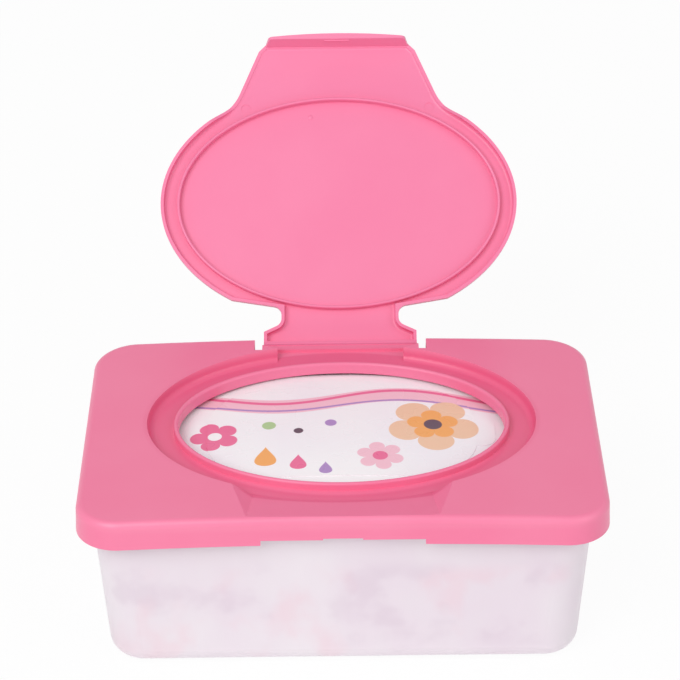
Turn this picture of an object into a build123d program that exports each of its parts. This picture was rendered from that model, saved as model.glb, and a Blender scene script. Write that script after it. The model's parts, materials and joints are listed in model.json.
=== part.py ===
"""Baby wipes box: a translucent tub with a press-on lid, an oval flip lid on a living hinge,
and a sealed refill pack of folded wipes inside. Millimetres, +Z up, front at -Y.
The origin is the centre of the tub's base. The flip lid is built shut and then swung open."""
import os
from build123d import *

# Tub
tub_width = 178.6             # outside, at the rim
tub_depth = 113.6
tub_corner = 13.0
tub_wall = 1.4
tub_height = 63.2             # base to the top of the rim
tub_taper = 3.9               # each side leans in by this much at the base
tub_base_radius = 7.5
flange_thickness = 1.6

# Lid cover
lid_width = 190.0             # outside, at the skirt's foot
lid_depth = 124.0
lid_corner = 16.5
lid_wall = 1.5
lid_side_height = 68.4        # top of the lid at its left and right edges
lid_crown = 2.2               # the middle of the lid stands higher by this much
lid_edge_radius = 2.6
skirt_height = 10.8
skirt_draft = 0.5             # the skirt leans in by this much at its top

# Snap beads and seat ribs inside the skirt
bead_height = 0.5
bead_length = 18.0
bead_thickness = 1.0
bead_drop = 0.5               # below the tub's flange
snap_gap = 0.35               # running gap between the beads and the flange
seat_gap = 0.2                # the seat ribs stand this far above the flange
seat_rib_thickness = 1.4
rib_place_x = 52.0
rib_place_y = 32.0

# Oval well, ring and dispensing opening
oval_y = 4.5                  # centre of the well, the ring and the flip lid's oval
well_floor_height = 65.7
well_half_length = 70.9       # at the floor
well_half_width = 50.2
well_lean = 1.6               # the wall leans out by this much over its draft height
well_draft_height = 5.5
well_fillet = 2.2
ring_half_length = 61.3       # to the middle of the ring's wall
ring_half_width = 40.9
ring_wall = 1.8
ring_height = 2.9             # above the well's floor

# Flip lid; distances run forward from the hinge line
hinge_height = 66.9
hinge_gap = 0.5               # hinge line behind the skirt's foot
open_angle = 135.0            # as photographed, from shut
flip_half_length = 70.4
flip_half_width = 49.8
flip_wall = 1.2
flip_underside_height = 71.0
flip_rim_depth = 2.8          # below the underside
flip_edge_radius = 2.3
shoulder_half_width = 29.8
shoulder_length = 5.2
waist_half_width = 22.9
waist_front = 8.4
waist_back = 14.4
neck_round = 3.4
neck_spread = 42.5            # half width where the neck's line leaves the oval
neck_spread_distance = 18.2
tab_end_half_width = 31.4
tab_spread = 27.5             # the tab's sides spread by this much towards the oval's centre
tab_length = 124.6
tab_corner = 2.8
tab_root_half_width = 40.8    # about where the tab's sides meet the oval
tab_root_distance = 99.0
tab_root_round = 18.0
tab_rim_depth = 0.55
tab_ramp_start = 92.0         # the rim rises between these distances to pass over the lid
tab_ramp_end = 98.0
rear_wall_foot = 0.6          # above the hinge line

# Lip at the tab's end
lip_root_half_width = 28.8
lip_foot_half_width = 27.0
lip_corner = 2.0
lip_height = 6.2
lip_lean = 1.6                # the lip leans out by this much at its foot
lip_flange = 2.3
lip_flange_at_ends = 0.8
catch_half_width = 5.0
catch_height = 3.2
catch_rise = 0.9              # above the lip's foot
catch_gap = 0.4               # in front of the lid's top edge

# Sealing rib and ejector marks on the flip lid's underside
rib_half_length = 63.4        # to the middle of the rib's wall
rib_half_width = 43.0
rib_wall = 1.2
rib_height = 2.8
ejector_radius = 1.9
ejector_depth = 0.2
ejector_x = 36.6
ejector_distance = 97.8

# Recess for the flip lid's neck, the tongue that carries the hinge and its slots
neck_gap = 1.4
strip_height = 67.0           # top of the tongue beside the hinge
strip_length = 3.6
slot_width = 3.0
slot_length = 9.6
slot_inner_x = 30.2
slot_foot_height = 62.4
web_half_length = 29.8
web_thickness = 0.4
web_seat = 0.8                # how far the web lies on the tongue
web_overhang = 1.45           # past the tongue's rear edge

# Trough for the flip lid's tab
trough_start_y = -37.0
trough_floor_half_width = 31.5
trough_end_half_width = 34.0
trough_end_inset = 1.2        # the floor meets the top this far behind the front edge
trough_slope = 1.84           # sideways run of the trough's sides per millimetre of height

# Notch in the front of the skirt, for a finger
notch_half_width = 29.0
notch_height = 1.8
notch_step_half_width = 7.0
notch_step = 0.6

# Refill pack
pack_end_gap = 7.3            # from the end seals to the tub's walls, at the base
pack_side_gap = 3.5
pack_crest = 0.3              # the crown's middle stands this far above the lid's underside
pack_y = 2.0                  # the pack lies this far behind the tub's middle
pack_corner = 16.0
pack_edge_radius = 7.0
pack_crown_radius = 900.0
film = 0.5
pack_floor_gap = 0.2
seal_length = 64.0
seal_height = 10.0
seal_thickness = 0.7
label_length = 100.0
label_width = 60.0
label_corner = 24.0
label_thickness = 0.25
label_tab_length = 7.0
label_tab_width = 20.0
label_tab_corner = 6.0
wipe_count = 38
wipe_leaf = 0.6
wipe_gap = 0.12
wipe_end_margin = 8.0
wipe_side_margin = 7.0
wipe_rise = 1.9               # the stack's first leaf above the film's floor

hinge_y = lid_depth / 2 + hinge_gap
oval_distance = hinge_y - oval_y
lid_top_height = lid_side_height + lid_crown
crown_radius = ((lid_width / 2) ** 2 + lid_crown ** 2) / (2 * lid_crown)
skirt_foot_height = lid_side_height - skirt_height
lid_top_half_depth = lid_depth / 2 - skirt_draft
lid_top_half_width = lid_width / 2 - skirt_draft
flip_top_height = flip_underside_height + flip_wall
flip_rim_foot = flip_underside_height - flip_rim_depth
flange_inset = skirt_draft + lid_wall + bead_height + snap_gap
flange_foot = tub_height - flange_thickness
floor_underside = well_floor_height - lid_wall
strip_front = lid_top_half_depth - strip_length
pack_foot = tub_wall + pack_floor_gap
pack_top = floor_underside + pack_crest
pack_height = pack_top - pack_foot
pack_length = tub_width - 2 * (tub_taper + tub_wall + pack_end_gap + seal_thickness)
pack_width = tub_depth - 2 * (tub_taper + tub_wall + pack_side_gap)
reach = 30.0                  # how far cutting blocks run past what they cut
pick_radius = 4.6             # edges this close to a named corner belong to it
round_margin = 0.05           # keeps a full round from meeting itself


def top_edges(block):
    return block.faces().sort_by(Axis.Z)[-1].edges()


def foot_edges(block):
    return block.faces().sort_by(Axis.Z)[0].edges()


def box_between(low, high):
    """A box from one corner to the opposite one, in any order."""
    size = [abs(b - a) for a, b in zip(low, high)]
    middle = [(a + b) / 2 for a, b in zip(low, high)]
    return Pos(*middle) * Box(*size)


def bar_along_x(points, half_width):
    """A bar along X with the given outline in Y and Z."""
    return extrude(Plane.YZ * Polygon(*points, align=None), half_width, both=True)


def crowned_block(crest):
    """Everything below the lid's crowned surface, with its crest at the given height."""
    return Pos(0, 0, crest - crown_radius) * Rot(90, 0, 0) * Cylinder(crown_radius, 2 * lid_width)


def lid_block(inset, foot, crest):
    """The lid's outer form, drawn in by inset, from the foot up to the crowned surface."""
    height = lid_top_height + reach - foot
    top_inset = inset + skirt_draft * height / skirt_height
    low = RectangleRounded(lid_width - 2 * inset, lid_depth - 2 * inset, lid_corner - inset)
    high = RectangleRounded(lid_width - 2 * top_inset, lid_depth - 2 * top_inset, lid_corner - top_inset)
    block = loft([Pos(0, 0, foot) * low, Pos(0, 0, foot + height) * high])
    return block & crowned_block(crest)


def oval_block(half_length, half_width, foot, height, lean=0.0):
    """An oval block whose wall leans out by lean over its height."""
    low = Pos(0, oval_y, foot) * Ellipse(half_length, half_width)
    if lean == 0.0:
        return extrude(low, height)
    high = Pos(0, oval_y, foot + height) * Ellipse(half_length + lean, half_width + lean)
    return loft([low, high])


def mirrored_polygon(half_points, inset):
    """A polygon from points given as x and distance from the hinge line, drawn in by inset."""
    left = [(-x, hinge_y - distance) for x, distance in half_points]
    right = [(-x, y) for x, y in reversed(left)]
    return offset(Polygon(*left, *right, align=None), amount=-inset, kind=Kind.INTERSECTION)


def neck_outline(inset):
    """Shoulders and waist of the flip lid, from the hinge line to the oval's centre."""
    points = [(shoulder_half_width, 0.0), (shoulder_half_width, shoulder_length),
              (waist_half_width, waist_front), (waist_half_width, oval_distance)]
    return mirrored_polygon(points, inset)


def tab_outline(inset):
    points = [(tab_end_half_width + tab_spread, oval_distance), (tab_end_half_width, tab_length - tab_corner),
              (tab_end_half_width - tab_corner, tab_length)]
    return mirrored_polygon(points, inset)


def upright_edges(block, x, distance):
    """The upright edges beside a point on the flip lid and beside its mirror image."""
    spot = Vector(x, hinge_y - distance)
    near = []
    for edge in block.edges().filter_by(Axis.Z):
        place = Vector(abs(edge.center().X), edge.center().Y)
        if (place - spot).length < pick_radius:
            near.append(edge)
    return near


def flip_block(inset, foot, top):
    """The flip lid's outline, drawn in by inset: oval, neck with shoulders, and tab."""
    oval = Pos(0, oval_y) * Ellipse(flip_half_length - inset, flip_half_width - inset)
    cut_start = waist_half_width - neck_round
    below_neck_line = [(neck_spread, 0.0), (neck_spread, neck_spread_distance),
                       (cut_start, waist_back), (cut_start, 0.0)]
    right_cut = offset(Polygon(*[(x, hinge_y - distance) for x, distance in below_neck_line], align=None),
                       amount=inset, kind=Kind.INTERSECTION)
    face = oval - right_cut - mirror(right_cut, about=Plane.YZ) + neck_outline(inset) + tab_outline(inset)
    block = Pos(0, 0, foot) * extrude(face, top - foot)
    waist = upright_edges(block, waist_half_width, (waist_front + waist_back) / 2)
    block = fillet(waist, neck_round + inset)
    return fillet(upright_edges(block, tab_root_half_width, tab_root_distance), tab_root_round + inset)


def tub_block(inset, foot, radius):
    """The tub's tapered form, drawn in by inset, with a rounded base edge."""
    low_inset = inset + tub_taper
    low = RectangleRounded(tub_width - 2 * low_inset, tub_depth - 2 * low_inset, tub_corner - inset)
    high = RectangleRounded(tub_width - 2 * inset, tub_depth - 2 * inset, tub_corner - inset)
    block = loft([Pos(0, 0, foot) * low, Pos(0, 0, tub_height) * high])
    return fillet(foot_edges(block), radius)


def make_tub():
    """Thin translucent tub, narrower at its base, with a flat flange round its rim."""
    flange = RectangleRounded(lid_width - 2 * flange_inset, lid_depth - 2 * flange_inset,
                              lid_corner - flange_inset)
    rim = Pos(0, 0, flange_foot) * extrude(flange, flange_thickness)
    tub = tub_block(0.0, 0.0, tub_base_radius) + rim
    return tub - tub_block(tub_wall, tub_wall, tub_base_radius - tub_wall)


def well_block(grow, foot, radius):
    """The oval well, grown by the thickness of the wall round it."""
    block = oval_block(well_half_length + grow, well_half_width + grow, foot, well_draft_height, well_lean)
    return fillet(foot_edges(block), radius)


def neck_block(grow, foot):
    """The recess behind the well for the flip lid's neck and shoulders."""
    block = Pos(0, 0, foot) * extrude(neck_outline(-neck_gap - grow), reach)
    return block & box_between((-lid_width, oval_y + ring_half_width, foot), (lid_width, lid_depth, foot + reach))


def trough_block(drop, spread):
    """The wedge that the flip lid's tab lies in; its floor rises to the lid's front edge."""
    end_y = trough_end_inset - lid_depth / 2
    rise = (lid_top_height - well_floor_height) / (trough_start_y - end_y)
    widen = (trough_end_half_width - trough_floor_half_width) / (trough_start_y - end_y)
    sections = []
    for y in (trough_start_y + 2 * well_fillet, end_y - lid_wall - reach / 2):
        run = trough_start_y - y
        floor = well_floor_height + rise * run - drop
        half = trough_floor_half_width + widen * run + spread
        brim = reach / 2
        wide = half + trough_slope * brim
        outline = Polygon((-half, floor), (half, floor), (wide, floor + brim), (-wide, floor + brim), align=None)
        sections.append(Plane((0, y, 0), x_dir=(1, 0, 0), z_dir=(0, -1, 0)) * outline)
    foot = well_floor_height - drop
    return loft(sections) & box_between((-lid_width, -lid_depth, foot), (lid_width, oval_y, foot + 2 * reach))


def slots():
    """The two slots that free the tongue; they run out through the rear of the skirt."""
    cuts = Part()
    for side in (-1, 1):
        cuts += box_between((side * slot_inner_x, lid_depth / 2 - slot_length, slot_foot_height),
                            (side * (slot_inner_x + slot_width), lid_depth, lid_top_height + reach))
    return cuts


def seat_ribs():
    """Ribs inside the skirt that stand on the tub's flange."""
    foot, half = tub_height + seat_gap, seat_rib_thickness / 2
    ribs = Part()
    for side in (-1, 1):
        for place in (-rib_place_x, rib_place_x):
            ribs += box_between((place - half, side * tub_depth / 2, foot),
                                (place + half, side * lid_top_half_depth, lid_top_height))
        for place in (-rib_place_y, rib_place_y):
            ribs += box_between((side * tub_width / 2, place - half, foot),
                                (side * lid_top_half_width, place + half, lid_top_height))
    return ribs


def snap_beads():
    """Short beads inside the skirt that click under the tub's flange."""
    top, half = flange_foot - bead_drop, bead_length / 2
    foot = top - bead_thickness
    beads = Part()
    for side in (-1, 1):
        tip = side * (lid_top_half_depth - lid_wall - bead_height)
        for place in (-rib_place_x, rib_place_x):
            beads += box_between((place - half, tip, foot), (place + half, side * lid_top_half_depth, top))
        tip = side * (lid_top_half_width - lid_wall - bead_height)
        beads += box_between((tip, -half, foot), (side * lid_top_half_width, half, top))
    return beads


def ring():
    """The raised rim round the dispensing opening, with a full-round top."""
    half = ring_wall / 2
    height = lid_wall + ring_height
    tube = oval_block(ring_half_length + half, ring_half_width + half, floor_underside, height)
    tube -= oval_block(ring_half_length - half, ring_half_width - half, floor_underside, height)
    return fillet(top_edges(tube), half - round_margin)


def skirt_notch():
    """The step up in the skirt's front edge that lets a finger under the lip."""
    foot = skirt_foot_height + lid_crown
    back = 3 * lid_wall - lid_depth / 2
    wide = box_between((-notch_half_width, -lid_depth, foot - reach),
                       (notch_half_width, back, foot + notch_height))
    step = box_between((-notch_step_half_width, -lid_depth, foot - reach),
                       (notch_step_half_width, back, foot + notch_height + notch_step))
    return wide + step


def make_lid_cover():
    """Press-on lid: crowned top, skirt, oval well with the raised ring, neck recess and trough."""
    outside = lid_block(0.0, skirt_foot_height, lid_top_height)
    outside = fillet(top_edges(outside), lid_edge_radius)
    inside = lid_block(lid_wall, skirt_foot_height - lid_wall, lid_top_height - lid_wall)
    inside = fillet(top_edges(inside), lid_edge_radius - lid_wall)
    bosses = well_block(lid_wall, floor_underside, well_fillet + lid_wall)
    bosses += neck_block(lid_wall, floor_underside)
    bosses += trough_block(lid_wall, lid_wall / 2)
    lid = outside - inside + (bosses & outside) + (seat_ribs() & outside) + (snap_beads() & outside)
    lid -= well_block(0.0, well_floor_height, well_fillet)
    lid -= neck_block(0.0, well_floor_height) - box_between((-lid_width, strip_front, 0),
                                                            (lid_width, lid_depth, strip_height))
    lid -= trough_block(0.0, 0.0)
    half = ring_wall / 2
    opening = oval_block(ring_half_length - half, ring_half_width - half, 0.0, lid_top_height)
    lid = lid - opening + ring() - slots()
    return lid - crowned_block(skirt_foot_height + lid_crown) - skirt_notch()


def opened(shape):
    """Swing a piece of the shut flip lid to its photographed angle."""
    return shape.rotate(Axis((0, hinge_y, hinge_height), (-1, 0, 0)), open_angle)


def tab_ramp():
    """What is cut from the rim so that the tab passes over the lid's top."""
    deep = flip_rim_foot - reach
    start, end = hinge_y - tab_ramp_start, hinge_y - tab_ramp_end
    level = flip_underside_height - tab_rim_depth
    front = hinge_y - tab_length - reach
    outline = [(start, deep), (start, flip_rim_foot), (end, level), (front, level), (front, deep)]
    return bar_along_x(outline, lid_width)


def lip_ends(foot, top):
    """The lip's form seen from the front: narrower towards its foot, with rounded lower corners."""
    outline = Polygon((-lip_root_half_width, top), (-lip_foot_half_width, foot),
                      (lip_foot_half_width, foot), (lip_root_half_width, top), align=None)
    block = extrude(Plane.XZ * outline, lid_depth)
    return fillet(foot_edges(block).filter_by(Axis.Y), lip_corner)


def lip():
    """The wall that hangs from the tab's end, with its arched finger flange and its catch."""
    root = hinge_y - tab_length + flip_wall
    foot = flip_underside_height - lip_height
    heel = root - lip_lean
    toe = heel - lip_flange
    top = flip_underside_height + flip_wall / 2
    outline = [(root, top), (root, flip_underside_height), (heel, foot), (toe, foot), (toe, foot + flip_wall),
               (heel - flip_wall, foot + flip_wall), (root - flip_wall, flip_underside_height),
               (root - flip_wall, top)]
    sag = lip_flange - lip_flange_at_ends
    arch_radius = (lip_root_half_width ** 2 + sag ** 2) / (2 * sag)
    arch = Pos(0, toe + arch_radius, flip_underside_height) * Cylinder(arch_radius, 2 * reach)
    catch_foot = foot + catch_rise
    catch_face = -lid_top_half_depth - catch_gap
    triangle = Polygon((-catch_half_width, catch_foot), (catch_half_width, catch_foot),
                       (0, catch_foot + catch_height), align=None)
    catch = extrude(Plane((0, catch_face, 0), x_dir=(1, 0, 0), z_dir=(0, -1, 0)) * triangle,
                    catch_face - heel + flip_wall / 2)
    return (bar_along_x(outline, lip_root_half_width) & arch & lip_ends(foot, top)) + catch


def sealing_rib():
    half = rib_wall / 2
    foot = flip_underside_height - rib_height
    height = rib_height + flip_wall / 2
    wall = oval_block(rib_half_length + half, rib_half_width + half, foot, height)
    wall -= oval_block(rib_half_length - half, rib_half_width - half, foot, height)
    return fillet(foot_edges(wall), half - round_margin)


def make_flip_lid():
    """Oval flip lid with its turned-down rim, sealing rib, neck, and tab with its lip."""
    outer = flip_block(0.0, flip_rim_foot, flip_top_height)
    outer = fillet(top_edges(outer), flip_edge_radius)
    inner = flip_block(flip_wall, flip_rim_foot, flip_underside_height)
    inner = fillet(top_edges(inner), flip_edge_radius - flip_wall)
    rear_wall = box_between((-shoulder_half_width, hinge_y - flip_wall, hinge_height + rear_wall_foot),
                            (shoulder_half_width, hinge_y, flip_rim_foot + flip_wall))
    lid = outer - inner - tab_ramp() + rear_wall + lip() + sealing_rib()
    for side in (-1, 1):
        place = (side * ejector_x, hinge_y - ejector_distance, flip_underside_height)
        lid -= Pos(*place) * Cylinder(ejector_radius, 2 * ejector_depth)
    return opened(lid)


def make_living_hinge():
    """The thin web between the tongue and the flip lid's rear wall."""
    rear = lid_top_half_depth
    return box_between((-web_half_length, rear - web_seat, strip_height),
                       (web_half_length, rear + web_overhang, strip_height + web_thickness))


def crown_ball(grow):
    """The pack's crowned top is part of this large ball."""
    radius = pack_crown_radius + grow
    return Pos(0, 0, pack_top - pack_crown_radius) * Sphere(radius)


def pack_block(inset):
    """The pillow form of the refill pack, drawn in by inset."""
    face = RectangleRounded(pack_length - 2 * inset, pack_width - 2 * inset, pack_corner - inset)
    block = Pos(0, 0, pack_foot + inset) * extrude(face, pack_height) & crown_ball(-inset)
    block = fillet(top_edges(block), pack_edge_radius - inset)
    return fillet(foot_edges(block), pack_edge_radius - inset)


def make_pouch():
    """Sealed film pouch with the end seals folded flat against its ends."""
    pouch = pack_block(0.0) - pack_block(film)
    middle = pack_foot + pack_height / 2
    for side in (-1, 1):
        end = side * pack_length / 2
        pouch += box_between((end - side * film / 2, -seal_length / 2, middle - seal_height / 2),
                             (end + side * seal_thickness, seal_length / 2, middle + seal_height / 2))
    return Pos(0, pack_y) * pouch


def make_peel_label():
    """Resealable label over the pouch's slit, with a pull tab at its right end."""
    face = RectangleRounded(label_length, label_width, label_corner)
    tab = Pos(label_length / 2, 0) * RectangleRounded(2 * label_tab_length, label_tab_width, label_tab_corner)
    prism = Pos(0, oval_y, pack_foot) * extrude(face + tab, pack_height + reach)
    return prism & (Pos(0, pack_y) * (crown_ball(label_thickness) - crown_ball(0.0)))


def make_wipes():
    """The stack of wipes, each folded once, with the folds to alternate sides."""
    half_length = pack_length / 2 - wipe_end_margin
    half_width = pack_width / 2 - wipe_side_margin
    pitch = 2 * (wipe_leaf + wipe_gap)
    start = pack_foot + film + wipe_rise
    wipes = []
    for index in range(wipe_count):
        low = start + index * pitch
        side = 1 if index % 2 else -1
        wipe = box_between((-half_length, -half_width, low),
                           (half_length, half_width, low + pitch - wipe_gap))
        wipe -= box_between((-half_length, -side * half_width, low + wipe_leaf),
                            (half_length, side * (half_width - wipe_leaf), low + wipe_leaf + wipe_gap))
        wipes.append(Pos(0, pack_y) * wipe)
    return Compound(children=wipes)


parts = {
    "tub": make_tub,
    "lid_cover": make_lid_cover,
    "flip_lid": make_flip_lid,
    "living_hinge": make_living_hinge,
    "refill_pouch": make_pouch,
    "peel_label": make_peel_label,
    "folded_wipes": make_wipes,
}

os.makedirs("parts", exist_ok=True)
for node, make in parts.items():
    export_step(make(), f"parts/{node}.step")
    print("wrote", node)
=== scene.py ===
"""Baby wipes box: the looks of the tub, the lid, the flip lid and the refill pack, around the
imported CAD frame. Metres, +Z up, front at -Y. Sizes written in millimetres are times mm."""
import json
import math

import bmesh
import bpy
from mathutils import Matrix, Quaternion, Vector, noise


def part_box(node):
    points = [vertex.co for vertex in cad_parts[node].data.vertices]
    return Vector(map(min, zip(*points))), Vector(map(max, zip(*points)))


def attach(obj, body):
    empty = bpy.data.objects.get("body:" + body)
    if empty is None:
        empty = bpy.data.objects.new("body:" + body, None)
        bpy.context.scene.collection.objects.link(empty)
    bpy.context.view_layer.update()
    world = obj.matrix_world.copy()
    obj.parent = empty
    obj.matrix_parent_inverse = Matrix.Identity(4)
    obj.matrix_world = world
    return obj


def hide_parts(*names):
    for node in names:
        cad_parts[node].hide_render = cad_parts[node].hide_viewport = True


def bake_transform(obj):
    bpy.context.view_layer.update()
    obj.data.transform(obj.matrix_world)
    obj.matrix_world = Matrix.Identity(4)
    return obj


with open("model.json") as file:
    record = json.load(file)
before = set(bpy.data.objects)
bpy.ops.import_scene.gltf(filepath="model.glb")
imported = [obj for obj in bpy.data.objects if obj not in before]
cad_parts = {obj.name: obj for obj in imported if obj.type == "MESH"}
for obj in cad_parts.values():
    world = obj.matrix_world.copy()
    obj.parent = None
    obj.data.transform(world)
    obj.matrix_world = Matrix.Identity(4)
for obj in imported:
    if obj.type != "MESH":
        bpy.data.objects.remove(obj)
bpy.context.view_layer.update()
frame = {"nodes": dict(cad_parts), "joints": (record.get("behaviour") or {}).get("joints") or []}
nodes = frame["nodes"]


# Tub. The real one is a thin injection-moulded box of milky polypropylene, tapered to leave the
# mould, with a flange round its rim for the press-on lid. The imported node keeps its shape, and the
# plastic lets the printed pack inside show through faintly.
mm = 0.001
tub_milk = (250, 242, 248)
tub_shade = (246, 233, 243)
tub_lilac = (206, 176, 200)     # the print behind the plastic, out of focus
tub_blush = (252, 204, 218)
lilac_share = 0.18
blush_share = 0.28
tub_opacity = 0.84
tub_rim_opacity = 0.93
tub_roughness = 0.34


class Value:
    """A shader socket. Expressions on values add their Math nodes; node adds any other node."""

    def __init__(self, tree, socket):
        self.tree = tree
        self.socket = socket

    def node(self, kind, settings, inputs, output=0):
        """Adds a node: its settings first, then the values or links of its sockets."""
        made = self.tree.nodes.new(kind)
        for name, setting in settings.items():
            setattr(made, name, setting)
        connect(self.tree, made, inputs)
        return Value(self.tree, made.outputs[output])

    def math(self, operation, *others):
        return self.node("ShaderNodeMath", {"operation": operation}, dict(enumerate((self, *others))))

    def __add__(self, other):
        return self.math("ADD", other)

    __radd__ = __add__

    def __sub__(self, other):
        return self.math("SUBTRACT", other)

    def __rsub__(self, other):
        return self * -1.0 + other

    def __mul__(self, other):
        return self.math("MULTIPLY", other)

    __rmul__ = __mul__

    def __truediv__(self, other):
        return self.math("DIVIDE", other)

    def step(self, low, high):
        """0 below low, 1 above high and smooth between; high may be the lower one."""
        inputs = {"Value": self, "From Min": low, "From Max": high}
        return self.node("ShaderNodeMapRange", {"interpolation_type": "SMOOTHSTEP"}, inputs)

    def part(self, axis):
        return self.node("ShaderNodeSeparateXYZ", {}, {"Vector": self}, axis)

    def stretched(self, x, y, z):
        """The same place with its axes scaled, so that a pattern on it becomes streaks."""
        return self.node("ShaderNodeVectorMath", {"operation": "MULTIPLY"}, {0: self, 1: (x, y, z)})

    def noise(self, grain, detail=2.0):
        """Noise with lumps of about the given size."""
        return self.node("ShaderNodeTexNoise", {}, {"Vector": self, "Scale": 1 / grain, "Detail": detail})

    def mixed(self, low, high):
        """A colour that goes from low to high with this value."""
        return self.node("ShaderNodeMix", {"data_type": "RGBA"}, {0: self, 6: low, 7: high}, 2)

    def bump(self, depth, strength=1.0):
        """A normal from this height, which is depth metres high at 1."""
        return self.node("ShaderNodeBump", {}, {"Height": self, "Distance": depth, "Strength": strength})


def connect(tree, node, inputs):
    for name, value in inputs.items():
        if isinstance(value, Value):
            tree.links.new(value.socket, node.inputs[name])
        else:
            node.inputs[name].default_value = value


def colour(red, green, blue):
    """A colour written as a screen shows it, as the shader's linear values."""
    shown = [channel / 255 for channel in (red, green, blue)]
    linear = [c / 12.92 if c <= 0.04045 else ((c + 0.055) / 1.055) ** 2.4 for c in shown]
    return (*linear, 1.0)


def new_material(name):
    """A node material and the place of its points in the object's frame."""
    material = bpy.data.materials.new(name)
    material.use_nodes = True
    tree = material.node_tree
    return material, Value(tree, tree.nodes.new("ShaderNodeTexCoord").outputs["Object"])


def finish(material, inputs):
    """Sets the Principled shader's sockets."""
    connect(material.node_tree, material.node_tree.nodes["Principled BSDF"], inputs)
    return material


def dress(piece, material):
    piece.data.materials.clear()
    piece.data.materials.append(material)
    return piece


def print_behind(place, plain):
    """The plain plastic, tinted in soft patches where the pack's print lies behind it."""
    height = place.part("Z")
    blush = place.stretched(-1.2, 1.1, 0.9).noise(30 * mm, 3.0).step(0.50, 0.68)
    blush = blush * height.step(48 * mm, 40 * mm) * blush_share
    lilac = place.noise(24 * mm, 3.0).step(0.50, 0.66)
    lilac = lilac * height.step(50 * mm, 42 * mm) * height.step(5 * mm, 14 * mm) * lilac_share
    return lilac.mixed(blush.mixed(plain, colour(*tub_blush)), colour(*tub_lilac))


def milky_plastic():
    """Translucent polypropylene with faint upright flow marks; its rim and foot look denser."""
    material, place = new_material("milky_polypropylene")
    height = place.part("Z")
    tub_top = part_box("tub")[1].z
    flow = place.stretched(1.0, 1.0, 0.3).noise(18 * mm, 3.0)
    cloud = place.noise(45 * mm)
    grain = place.noise(0.35 * mm)
    plain = (flow * 0.3 + cloud * 0.7).step(0.35, 0.7).mixed(colour(*tub_milk), colour(*tub_shade))
    rim = height.step(tub_top - 4 * mm, tub_top - 1.6 * mm)
    foot = height.step(9 * mm, 1 * mm)
    return finish(material, {
        "Base Color": print_behind(place, plain),
        "Roughness": grain * 0.10 + cloud * 0.08 + (tub_roughness - 0.09),
        "Alpha": (rim + foot).math("MINIMUM", 1.0) * (tub_rim_opacity - tub_opacity) + tub_opacity,
        "Normal": (grain + flow * 2.0).bump(0.02 * mm),
        "IOR": 1.49,
    })


dress(nodes["tub"], milky_plastic())


# Wipes. 38 sheets of damp nonwoven cloth, each folded once and laid in a stack with the folds to
# alternate sides. They lie sealed in the pouch; each is one sheet, cut flat and then folded.
wipe_count = 38
wipe_length = 136 * mm
wipe_width = 82 * mm            # folded
wipe_cloth = 0.46 * mm
wipe_first = 4.33 * mm          # middle of the lowest leaf
wipe_pitch = 1.44 * mm
wipe_turn = 0.36 * mm           # radius of the fold, at the middle of the cloth
wipe_wave = 0.25 * mm
waves_along, waves_across = 60.0, 75.0          # radians per metre
wipe_stagger = 0.4 * wipe_pitch
leaf_steps = 10
turn_steps = 4
pits_per_metre = 420.0
wipe_white = (247, 247, 246)
wipe_tint = (236, 238, 239)
stack_low, stack_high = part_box("folded_wipes")
stack_y = (stack_low.y + stack_high.y) / 2


def embossed_cloth():
    """Spunlace nonwoven: random fibres, with rows of small embossed pits."""
    material, place = new_material("nonwoven_cloth")
    fibres = place.stretched(1.0, 3.0, 1.0).noise(0.7 * mm, 4.0)
    rows = {"Vector": place, "Scale": pits_per_metre, "Randomness": 0.1}
    pits = place.node("ShaderNodeTexVoronoi", {"feature": "F1"}, rows)
    return finish(material, {
        "Base Color": fibres.mixed(colour(*wipe_tint), colour(*wipe_white)),
        "Roughness": fibres * 0.2 + 0.75,
        "Normal": (fibres + pits * 1.5).bump(0.12 * mm),
    })


def new_piece(name, shape, material, sharp=math.radians(40)):
    """Makes a piece of a bmesh that is already in its place, smooth except at sharp edges."""
    for edge in shape.edges:
        edge.smooth = len(edge.link_faces) != 2 or edge.calc_face_angle() < sharp
    for face in shape.faces:
        face.smooth = True
    data = bpy.data.meshes.new(name)
    shape.to_mesh(data)
    shape.free()
    piece = bpy.data.objects.new(name, data)
    bpy.context.scene.collection.objects.link(piece)
    return dress(piece, material)


def folded_place(step):
    """Where a line across the flat sheet lies once it is folded, from its far edge round the turn."""
    leaf = wipe_width - wipe_turn
    if step <= leaf_steps:
        return step / leaf_steps * leaf, 0.0
    if step < leaf_steps + turn_steps:
        angle = (step - leaf_steps) / turn_steps * math.pi
        return leaf + wipe_turn * math.sin(angle), wipe_turn * (1 - math.cos(angle))
    return (2 * leaf_steps + turn_steps - step) / leaf_steps * leaf, 2 * wipe_turn


def folded_wipe(index):
    """One wipe: a flat grid folded round its turn, then given the cloth's thickness."""
    shape = bmesh.new()
    steps = 2 * leaf_steps + turn_steps
    bmesh.ops.create_grid(shape, x_segments=12, y_segments=steps, size=0.5)
    side = 1 if index % 2 else -1
    shift = wipe_stagger * math.sin(index * 2.4)
    for vert in shape.verts:
        along, rise = folded_place(round((vert.co.y + 0.5) * steps))
        x = vert.co.x * wipe_length + shift
        y = stack_y + side * (along - wipe_width / 2)
        wave = wipe_wave * (math.sin(x * waves_along) + math.sin(y * waves_across + 1.0))
        vert.co = (x, y, wipe_first + index * wipe_pitch + rise + wave)
    bmesh.ops.solidify(shape, geom=shape.faces[:], thickness=wipe_cloth)
    bmesh.ops.translate(shape, vec=(0, 0, wipe_cloth / 2), verts=shape.verts[:])
    bmesh.ops.recalc_face_normals(shape, faces=shape.faces[:])
    return shape


cloth = embossed_cloth()
for index in range(wipe_count):
    wipe = new_piece(f"wipe_{index + 1:02d}", folded_wipe(index), cloth)
    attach(wipe, "pack_body")
    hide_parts("folded_wipes")


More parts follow.
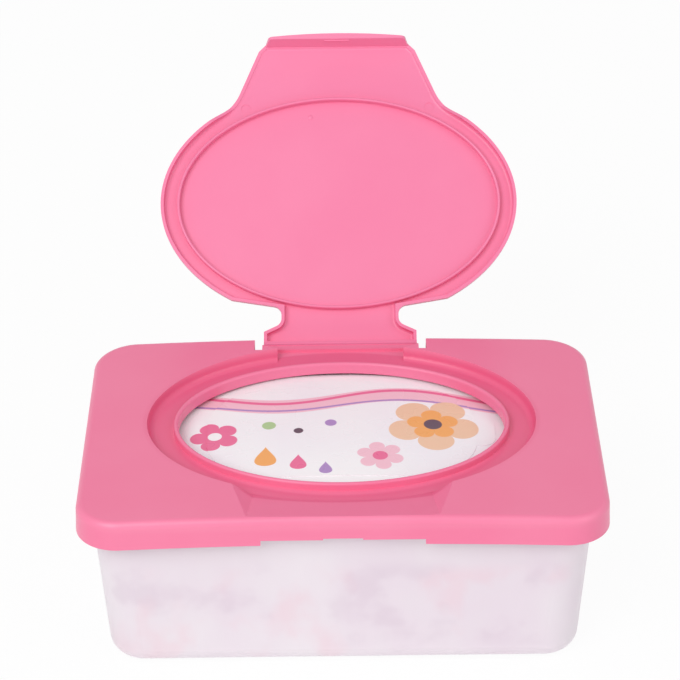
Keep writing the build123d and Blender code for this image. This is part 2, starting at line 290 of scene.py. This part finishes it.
# Refill pouch. A flow-wrapped pillow pack of printed laminate film, crowned on top and sealed at
# both ends, where the film gathers into crimped seals that are folded flat against the pack.
pack_low, pack_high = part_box("refill_pouch")
seal_out = 0.7 * mm             # the seals stand this far off the pack's ends
pack_size = pack_high - pack_low - Vector((2 * seal_out, 0, 0))
pack_middle = (pack_low + pack_high) / 2
pack_corner = 16 * mm
pack_edge = 7 * mm
pack_crown = 900 * mm           # radius of the crowned top
pack_cut = 4 * mm               # spacing of the mesh that follows the crown
pleat_depth = 0.7 * mm
pleat_reach = 14 * mm           # from the pack's ends
pleat_count = 22
film_slack = 0.25 * mm
slack_grain = 18 * mm
seal_length, seal_height = 64 * mm, 10 * mm
crimp_ridge = 1.6 * mm
crimp_depth = 0.1 * mm
film_white = (252, 250, 252)
film_lilac = (247, 242, 249)
print_rose = (238, 110, 155)
print_blush = (248, 196, 212)
print_orange = (247, 172, 96)
print_peach = (243, 201, 170)
print_violet = (176, 140, 200)
print_plum = (92, 72, 88)
print_sage = (176, 206, 150)
petal_length = 0.45             # share of a flower's radius
ink_edge = 0.4 * mm             # softness of a mark's edge
top_print = (58 * mm, 60 * mm)  # the marks fade in between these heights
side_print = (56 * mm, 52 * mm)
side_ink = 0.8


def rounded_slab(size, centre, corner, edge, segments=6):
    """A block with rounded upright corners, and then with a rounded rim at its top and foot."""
    shape = bmesh.new()
    bmesh.ops.create_cube(shape, size=1.0)
    bmesh.ops.scale(shape, vec=size, verts=shape.verts[:])
    upright = [e for e in shape.edges if abs(e.verts[0].co.z - e.verts[1].co.z) > size[2] / 2]
    bmesh.ops.bevel(shape, geom=upright, offset=corner, offset_type="OFFSET", segments=2 * segments,
                    profile=0.5, affect="EDGES", material=-1)
    if edge > 0:
        rims = [e for e in shape.edges if e.calc_face_angle() > math.radians(60)]
        bmesh.ops.bevel(shape, geom=rims, offset=edge, offset_type="OFFSET", segments=segments,
                        profile=0.5, affect="EDGES", material=-1)
    bmesh.ops.translate(shape, vec=centre, verts=shape.verts[:])
    return shape


def cut_across(shape, axis, low, high, spacing):
    """Cuts a mesh into slices along an axis, so that it can be bent."""
    normal = Vector((0, 0, 0))
    normal[axis] = 1.0
    for cut in range(1, math.ceil((high - low) / spacing)):
        bmesh.ops.bisect_plane(shape, geom=shape.verts[:] + shape.edges[:] + shape.faces[:],
                               plane_co=normal * (low + cut * spacing), plane_no=normal, dist=1e-6)


def from_centre(x, y, centre):
    """How far across, along and straight from a centre that is given in millimetres."""
    across = x - centre[0] * mm
    along = y - centre[1] * mm
    return across, along, (across * across + along * along).math("SQRT")


def dot(x, y, centre, radius):
    """Where a round dot is printed."""
    reach = from_centre(x, y, centre)[2]
    return reach.step(radius * mm + ink_edge, radius * mm)


def petals(x, y, centre, radius, count, turn=0.0, soft=0.5 * mm):
    """Where a flower is printed: round petals with a narrow notch between them."""
    across, along, reach = from_centre(x, y, centre)
    lobes = (along.math("ARCTAN2", across) * (count / 2) + turn).math("COSINE").math("ABSOLUTE")
    edge = lobes.math("SQRT") * (radius * petal_length * mm) + radius * (1 - petal_length) * mm
    return (reach - edge).step(soft, 0.0)


def drop(x, y, centre, size):
    """Where a water drop with its point to the rear is printed."""
    across = (x - centre[0] * mm).math("ABSOLUTE")
    rise = (y - centre[1] * mm) / (size * mm)
    belly = (1.0 - rise * rise).math("MAXIMUM", 0.0).math("SQRT")
    half_width = (1.0 - rise) * belly * (size * 0.5 * mm)
    return (half_width - across).step(0.0, ink_edge)


def ribbon(x, y, rise, swing, length, width):
    """Where a waving ribbon is printed."""
    middle = (x * (2 * math.pi / (length * mm))).math("SINE") * (swing * mm) + rise * mm
    return (y - middle).math("ABSOLUTE").step(width * mm, (width - 0.5) * mm)


def printed_colour(place):
    """The film's print: blossoms, ribbons, drops and dots on top, and blossoms along the sides."""
    x, y, z = (place.part(axis) for axis in "XYZ")
    film = place.noise(60 * mm).step(0.3, 0.7).mixed(colour(*film_white), colour(*film_lilac))
    top = z.step(*top_print)
    marks = [
        (ribbon(x, y, 25.0, 4.0, 90.0, 5.0), print_blush),
        (ribbon(x, y, 27.5, 4.5, 90.0, 1.1), print_rose),
        (ribbon(x, y, 21.5, 3.5, 90.0, 0.8), print_violet),
        (petals(x, y, (34, 8), 17.0, 5, 0.6), print_peach),
        (petals(x, y, (34, 8), 9.5, 5, 2.2), print_orange),
        (dot(x, y, (34, 8), 3.2), print_plum),
        (petals(x, y, (14, -13), 8.5, 6, 1.0), print_blush),
        (dot(x, y, (14, -13), 2.6), print_rose),
        (petals(x, y, (-47, 2), 9.0, 5, 1.4), print_rose),
        (dot(x, y, (-47, 2), 2.4), film_white),
        (drop(x, y, (-28, -12), 6.5), print_orange),
        (drop(x, y, (-16, -16), 5.0), print_rose),
        (drop(x, y, (-6, -20), 4.0), print_violet),
        (dot(x, y, (-27, 8), 2.4), print_sage),
        (dot(x, y, (-16, 4), 1.6), print_plum),
        (dot(x, y, (-4, 9), 2.0), print_violet),
    ]
    for mask, ink in marks:
        film = (mask * top).mixed(film, colour(*ink))
    sides = z.step(*side_print)
    blossoms = [
        (petals(x, z, (-46, 30), 15.0, 5, 0.3, 2 * mm), print_rose),
        (petals(x, z, (-4, 33), 12.0, 6, 1.0, 2 * mm), print_blush),
        (petals(x, z, (38, 28), 17.0, 5, 2.0, 2 * mm), print_violet),
    ]
    for mask, ink in blossoms:
        film = (mask * sides * side_ink).mixed(film, colour(*ink))
    return film


def printed_film(name, roughness, crease):
    """Glossy laminate over the print, with soft creases."""
    material, place = new_material(name)
    creases = place.noise(16 * mm, 3.0)
    return finish(material, {
        "Base Color": printed_colour(place),
        "Roughness": creases * 0.12 + roughness,
        "Normal": creases.bump(crease),
        "IOR": 1.5,
    })


def crown_drop(x, y):
    """How far the pack's crowned top has come down from its highest point."""
    return (x * x + (y - pack_middle.y) ** 2) / (2 * pack_crown)


def film_pillow():
    """The pack's crowned block with pleats that gather towards both ends."""
    shape = rounded_slab(pack_size, pack_middle, pack_corner, pack_edge)
    half_length = pack_size.x / 2
    cut_across(shape, 0, -half_length, half_length, pack_cut)
    cut_across(shape, 1, pack_low.y, pack_high.y, pack_cut)
    cut_across(shape, 2, pack_low.z, pack_high.z, 2 * pack_cut)
    shape.normal_update()
    for vert in shape.verts:
        x, y, z = vert.co
        height = (z - pack_low.z) / pack_size.z
        end = max(0.0, 1 - (half_length - abs(x)) / pleat_reach)
        angle = math.atan2(z - pack_middle.z, y - pack_middle.y)
        pleat = pleat_depth * end * (0.5 + 0.5 * math.cos(pleat_count * angle))
        slack = film_slack * (1 + noise.noise(vert.co / slack_grain)) * min(1.0, 4 * (1 - height))
        vert.co = vert.co - vert.normal * (pleat + slack)
        vert.co.z -= height ** 4 * crown_drop(x, y)
        vert.co.z = max(vert.co.z, pack_low.z)
    return shape


def end_seal(side):
    """A crimped seal, folded flat against the pack's end."""
    end = side * (pack_size.x / 2 + seal_out / 2 - crimp_depth)
    centre = Vector((end, pack_middle.y, pack_middle.z))
    size = (seal_out - 2.5 * crimp_depth, seal_length, seal_height)
    shape = rounded_slab(size, centre, 0.1 * mm, 0.0, 1)
    cut_across(shape, 1, centre.y - seal_length / 2, centre.y + seal_length / 2, crimp_ridge / 4)
    for vert in shape.verts:
        vert.co.x += crimp_depth * math.sin(vert.co.y / crimp_ridge * 2 * math.pi)
    return shape


laminate = printed_film("printed_laminate", 0.26, 0.5 * mm)
pouch = new_piece("pouch_film", film_pillow(), laminate)
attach(pouch, "pack_body")
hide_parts("refill_pouch")
for side, name in ((-1, "end_seal_left"), (1, "end_seal_right")):
    seal = new_piece(name, end_seal(side), laminate)
    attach(seal, "pack_body")


# Peel label. A die-cut film label with reseal adhesive lies over the pouch's slit and follows its
# crown; its pull tab is at the right end. The print runs on from the film round it.
label_size = (100 * mm, 60 * mm)
label_corner = 24 * mm
label_thickness = 0.22 * mm
label_clearance = 0.02 * mm
label_centre_y = 4.5 * mm
tab_size = (14 * mm, 20 * mm)
tab_corner = 6 * mm


def on_the_crown(shape):
    """Lays a flat shape that was made at height 0 on the pack's crowned top."""
    for vert in shape.verts:
        vert.co.z += pack_high.z + label_clearance - crown_drop(vert.co.x, vert.co.y)
    return shape


def label_film():
    label_high = Vector((0, label_centre_y, label_thickness / 2))
    shape = rounded_slab((*label_size, label_thickness), label_high, label_corner, 0.0)
    cut_across(shape, 0, -label_size[0] / 2, label_size[0] / 2, pack_cut)
    cut_across(shape, 1, label_centre_y - label_size[1] / 2, label_centre_y + label_size[1] / 2, pack_cut)
    return on_the_crown(shape)


def pull_tab():
    centre = (label_size[0] / 2, label_centre_y, label_thickness * 0.4)
    shape = rounded_slab((*tab_size, label_thickness * 0.8), centre, tab_corner, 0.0)
    cut_across(shape, 0, centre[0] - tab_size[0] / 2, centre[0] + tab_size[0] / 2, pack_cut / 2)
    return on_the_crown(shape)


label_print = printed_film("label_laminate", 0.22, 0.2 * mm)
for name, shape in (("peel_label_film", label_film()), ("peel_label_tab", pull_tab())):
    label = new_piece(name, shape, label_print)
    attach(label, "pack_body")
    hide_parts("peel_label")


# Lid cover. One injection moulding of pink polypropylene with a satin face: crowned top, skirt,
# oval well with the raised ring, recess and tongue for the hinge, and trough for the tab. The
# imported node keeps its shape.
lid_pink = (243, 122, 160)
lid_light = (246, 136, 170)
# Painted shade: a deeper pink in the lid's well and at the flip lid's neck foot.
painted_shade_pink = (226, 74, 122)
painted_shade_share = 0.55
lid_roughness = 0.36
scuff_length = 26 * mm


def pink_plastic(name, base, light, roughness, edge, shade_paint):
    """Satin moulded polypropylene: fine grain, faint flow marks, light scuffs and paler edges; the paler
    edge is wear with a painted highlight, or a painted light band on the flip lid's tab. A deeper pink is
    painted shade, in the lid's well and at the neck's foot."""
    material, place = new_material(name)
    cloud = place.noise(38 * mm, 3.0)
    grain = place.noise(0.30 * mm, 2.0)
    scuffs = place.stretched(0.5 * mm / scuff_length, 1.0, 1.0).noise(0.5 * mm).step(0.66, 0.74)
    crossing = place.stretched(1.0, 0.5 * mm / scuff_length, 1.0).noise(0.5 * mm).step(0.68, 0.75)
    worn = (scuffs + crossing).math("MINIMUM", 1.0) * cloud.step(0.45, 0.65)
    # Paler: random cloud, scuffs, and the edge mask, which is wear with a painted highlight on the lid's
    # edge and a painted light band on the flip lid's tab.
    paler = (cloud.step(0.3, 0.75) * 0.35 + edge(place) * 0.5 + worn * 0.12).math("MINIMUM", 1.0)
    outside = paler.mixed(colour(*base), colour(*light))
    return finish(material, {
        # the deeper pink mixed in here is painted shade
        "Base Color": (shade_paint(place) * painted_shade_share).mixed(outside, colour(*painted_shade_pink)),
        "Roughness": grain * 0.10 + worn * 0.10 + cloud * 0.06 + (roughness - 0.08),
        "Normal": (grain - worn * 0.3 + cloud * 2.0).bump(0.02 * mm),
        "IOR": 1.49,
    })


def lid_edge_wear_and_highlight(place):
    """The lid's rounded upper edge, which is handled most: wear and a painted highlight make it paler."""
    low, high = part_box("lid_cover")
    half = (high - low) / 2
    corner = 16.5 * mm
    x = (place.part("X").math("ABSOLUTE") - (half.x - corner)).math("MAXIMUM", 0.0)
    y = (place.part("Y").math("ABSOLUTE") - (half.y - corner)).math("MAXIMUM", 0.0)
    outline = (x * x + y * y).math("SQRT") - corner
    return outline.step(-3.0 * mm, -1.2 * mm) * place.part("Z").step(high.z - 6 * mm, high.z - 3 * mm)


def well_painted_shade(place):
    """Painted shade: the oval well between its wall and the ring, below the lid's top."""
    centre_y, half_length, half_width, soft = 4.5 * mm, 72.5 * mm, 51.8 * mm, 1.2 * mm
    across = place.part("X") / half_length
    along = (place.part("Y") - centre_y) / half_width
    reach = (across * across + along * along).math("SQRT")
    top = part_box("lid_cover")[1].z
    low_down = place.part("Z").step(top - 0.2 * mm, top - 2.5 * mm)
    return reach.step(1 + soft / half_width, 1.0) * reach.step(0.84, 0.88) * low_down


lid_finish = pink_plastic("lid_polypropylene", lid_pink, lid_light, lid_roughness, lid_edge_wear_and_highlight, well_painted_shade)
dress(nodes["lid_cover"], lid_finish)


# Flip lid. The other part of the same moulding: a thin oval plate with a turned-down rim, sealing
# rib, neck, and a tab with its lip and catch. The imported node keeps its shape; the mould's gate
# mark is a small raised dot on its inner face.
flip_pink = (243, 128, 168)
flip_light = (247, 140, 177)
hinge_place = Vector(frame["joints"][1]["pos_m"])
open_angle = math.radians(135)
plate_height = 4.1 * mm         # the plate's inner face above the hinge line, when shut
gate_x = -10.8 * mm
gate_distance = 94.0 * mm       # from the hinge line
gate_radius = 0.9 * mm


def tab_painted_light(place):
    """A painted light band, paler towards the end of the tab."""
    height = place.part("Z")
    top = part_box("flip_lid")[1].z
    return height.step(top - 16 * mm, top - 2 * mm)


def neck_painted_shade(place):
    """Painted shade on the lowest part of the neck, beside the living hinge."""
    return place.part("Z").step(hinge_place.z + 8 * mm, hinge_place.z + 1 * mm) * 0.3


# The tab's paler band is painted light, and the neck's deeper pink is painted shade.
flip_finish = pink_plastic("flip_polypropylene", flip_pink, flip_light, lid_roughness, tab_painted_light, neck_painted_shade)
dress(nodes["flip_lid"], flip_finish)


def on_the_flip(x, distance, rise):
    """A point given on the shut flip lid, at its photographed angle."""
    forward, up = -distance, rise
    y = forward * math.cos(open_angle) + up * math.sin(open_angle)
    z = -forward * math.sin(open_angle) + up * math.cos(open_angle)
    return hinge_place + Vector((x, y, z))


def gate_dot():
    """A flattened dome on the plate's inner face."""
    shape = bmesh.new()
    bmesh.ops.create_uvsphere(shape, u_segments=20, v_segments=10, radius=gate_radius)
    bmesh.ops.scale(shape, vec=(1, 1, 0.3), verts=shape.verts[:])
    turn = Quaternion((-1, 0, 0), open_angle).to_matrix()
    bmesh.ops.rotate(shape, matrix=turn, verts=shape.verts[:])
    bmesh.ops.translate(shape, vec=on_the_flip(gate_x, gate_distance, plate_height), verts=shape.verts[:])
    return shape


gate = new_piece("gate_mark", gate_dot(), flip_finish)
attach(gate, "flip_body")


# Living hinge. The thin web of the same moulding, flexed at the first opening; it runs from the
# tongue's rear edge to the flip lid's rear wall.
web_half_length = 29.8 * mm
web_thickness = 0.36 * mm
web_start = 60.8 * mm           # on the tongue
web_end = 63.3 * mm             # on the flip lid's rear wall
web_top = 67.3 * mm
web_sag = 0.35 * mm


def hinge_web():
    """A flat strip, drawn down a little in the middle, with the web's thickness."""
    shape = bmesh.new()
    bmesh.ops.create_grid(shape, x_segments=24, y_segments=20, size=0.5)
    for vert in shape.verts:
        along = vert.co.y + 0.5
        dip = web_sag * math.sin(math.pi * along) ** 2
        vert.co = (2 * web_half_length * vert.co.x, web_start + along * (web_end - web_start), web_top - dip)
    bmesh.ops.solidify(shape, geom=shape.faces[:], thickness=web_thickness)
    bmesh.ops.recalc_face_normals(shape, faces=shape.faces[:])
    return shape


web = new_piece("hinge_web", hinge_web(), flip_finish)
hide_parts("living_hinge")
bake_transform(web)


# Studio. A pale floor that shows white to the camera and keeps the object's soft shadow, a large
# soft lamp above the left front, a weaker one on the right, and even light from all round.
floor_size = 6.0
floor_white = 0.94              # share of plain white that the camera sees in the floor
paper_dull, paper_bright = (0.93, 0.93, 0.93, 1), (0.95, 0.95, 0.95, 1)
surround = 0.47
key_power, key_size = 16.3, 1.1
key_place = Vector((-0.75, -1.05, 1.25))
fill_power, fill_size = 4.5, 1.0
fill_place = Vector((1.1, -0.7, 0.8))
lamp_target = Vector((0, 0, 0.08))


def seen_directly(value):
    """1 for rays that come from the camera, or by a reflection or through glass."""
    rays = value.tree.nodes.new("ShaderNodeLightPath")
    names = ("Is Camera Ray", "Is Glossy Ray", "Is Transmission Ray")
    camera_ray, glossy_ray, through_ray = (Value(value.tree, rays.outputs[name]) for name in names)
    return camera_ray.math("MAXIMUM", glossy_ray).math("MAXIMUM", through_ray)


def plain_world():
    world = bpy.data.worlds.new("studio")
    bpy.context.scene.world = world
    world.use_nodes = True
    tree = world.node_tree
    start = Value(tree, tree.nodes["Background"].outputs[0])
    tree.nodes["Background"].inputs["Strength"].default_value = surround
    white = start.node("ShaderNodeBackground", {}, {"Color": (1, 1, 1, 1), "Strength": 1.0})
    tree.nodes["Background"].inputs["Color"].default_value = (1, 1, 1, 1)
    both = start.node("ShaderNodeMixShader", {}, {0: seen_directly(start), 1: start, 2: white})
    tree.links.new(both.socket, tree.nodes["World Output"].inputs["Surface"])


def floor_finish():
    material, place = new_material("studio_floor")
    tree = material.node_tree
    paper = Value(tree, tree.nodes["Principled BSDF"].outputs[0])
    finish(material, {"Base Color": place.noise(0.2).mixed(paper_dull, paper_bright), "Roughness": 0.9})
    white = place.node("ShaderNodeEmission", {}, {"Color": (1, 1, 1, 1), "Strength": 1.0})
    share = seen_directly(place) * floor_white
    both = place.node("ShaderNodeMixShader", {}, {0: share, 1: paper, 2: white})
    tree.links.new(both.socket, tree.nodes["Material Output"].inputs["Surface"])
    return material


def studio_floor():
    shape = bmesh.new()
    bmesh.ops.create_grid(shape, x_segments=1, y_segments=1, size=floor_size / 2)
    return new_piece("studio_floor", shape, floor_finish())


def soft_lamp(name, power, size, place):
    lamp = bpy.data.lights.new(name, "AREA")
    lamp.energy = power
    lamp.size = size
    holder = bpy.data.objects.new(name, lamp)
    bpy.context.scene.collection.objects.link(holder)
    holder.location = place
    holder.rotation_mode = "QUATERNION"
    holder.rotation_quaternion = (lamp_target - place).to_track_quat("-Z", "Y")


plain_world()
studio_floor()
soft_lamp("key_lamp", key_power, key_size, key_place)
soft_lamp("fill_lamp", fill_power, fill_size, fill_place)


# Camera. It stands at the photograph's angle: in front of the box and well above it, with a long
# lens and a slight roll.
look_at = Vector((-0.26, 0.0, 106.04)) * mm
distance = 942.4 * mm
azimuth, elevation, roll = math.radians(-0.127), math.radians(31.14), math.radians(-0.599)
lens, sensor = 138.07, 36.0
back = Vector((math.sin(azimuth) * math.cos(elevation), -math.cos(azimuth) * math.cos(elevation),
               math.sin(elevation)))
camera_data = bpy.data.cameras.new("camera")
camera_data.sensor_width = sensor
camera_data.lens = lens
camera_data.clip_start = 0.05
camera_data.clip_end = 20.0
camera = bpy.data.objects.new("camera", camera_data)
bpy.context.scene.collection.objects.link(camera)
camera.location = look_at + back * distance
camera.rotation_mode = "QUATERNION"
camera.rotation_quaternion = (-back).to_track_quat("-Z", "Y") @ Quaternion((0, 0, 1), roll)
bpy.context.scene.camera = camera
bpy.context.scene.view_settings.view_transform = "Standard"
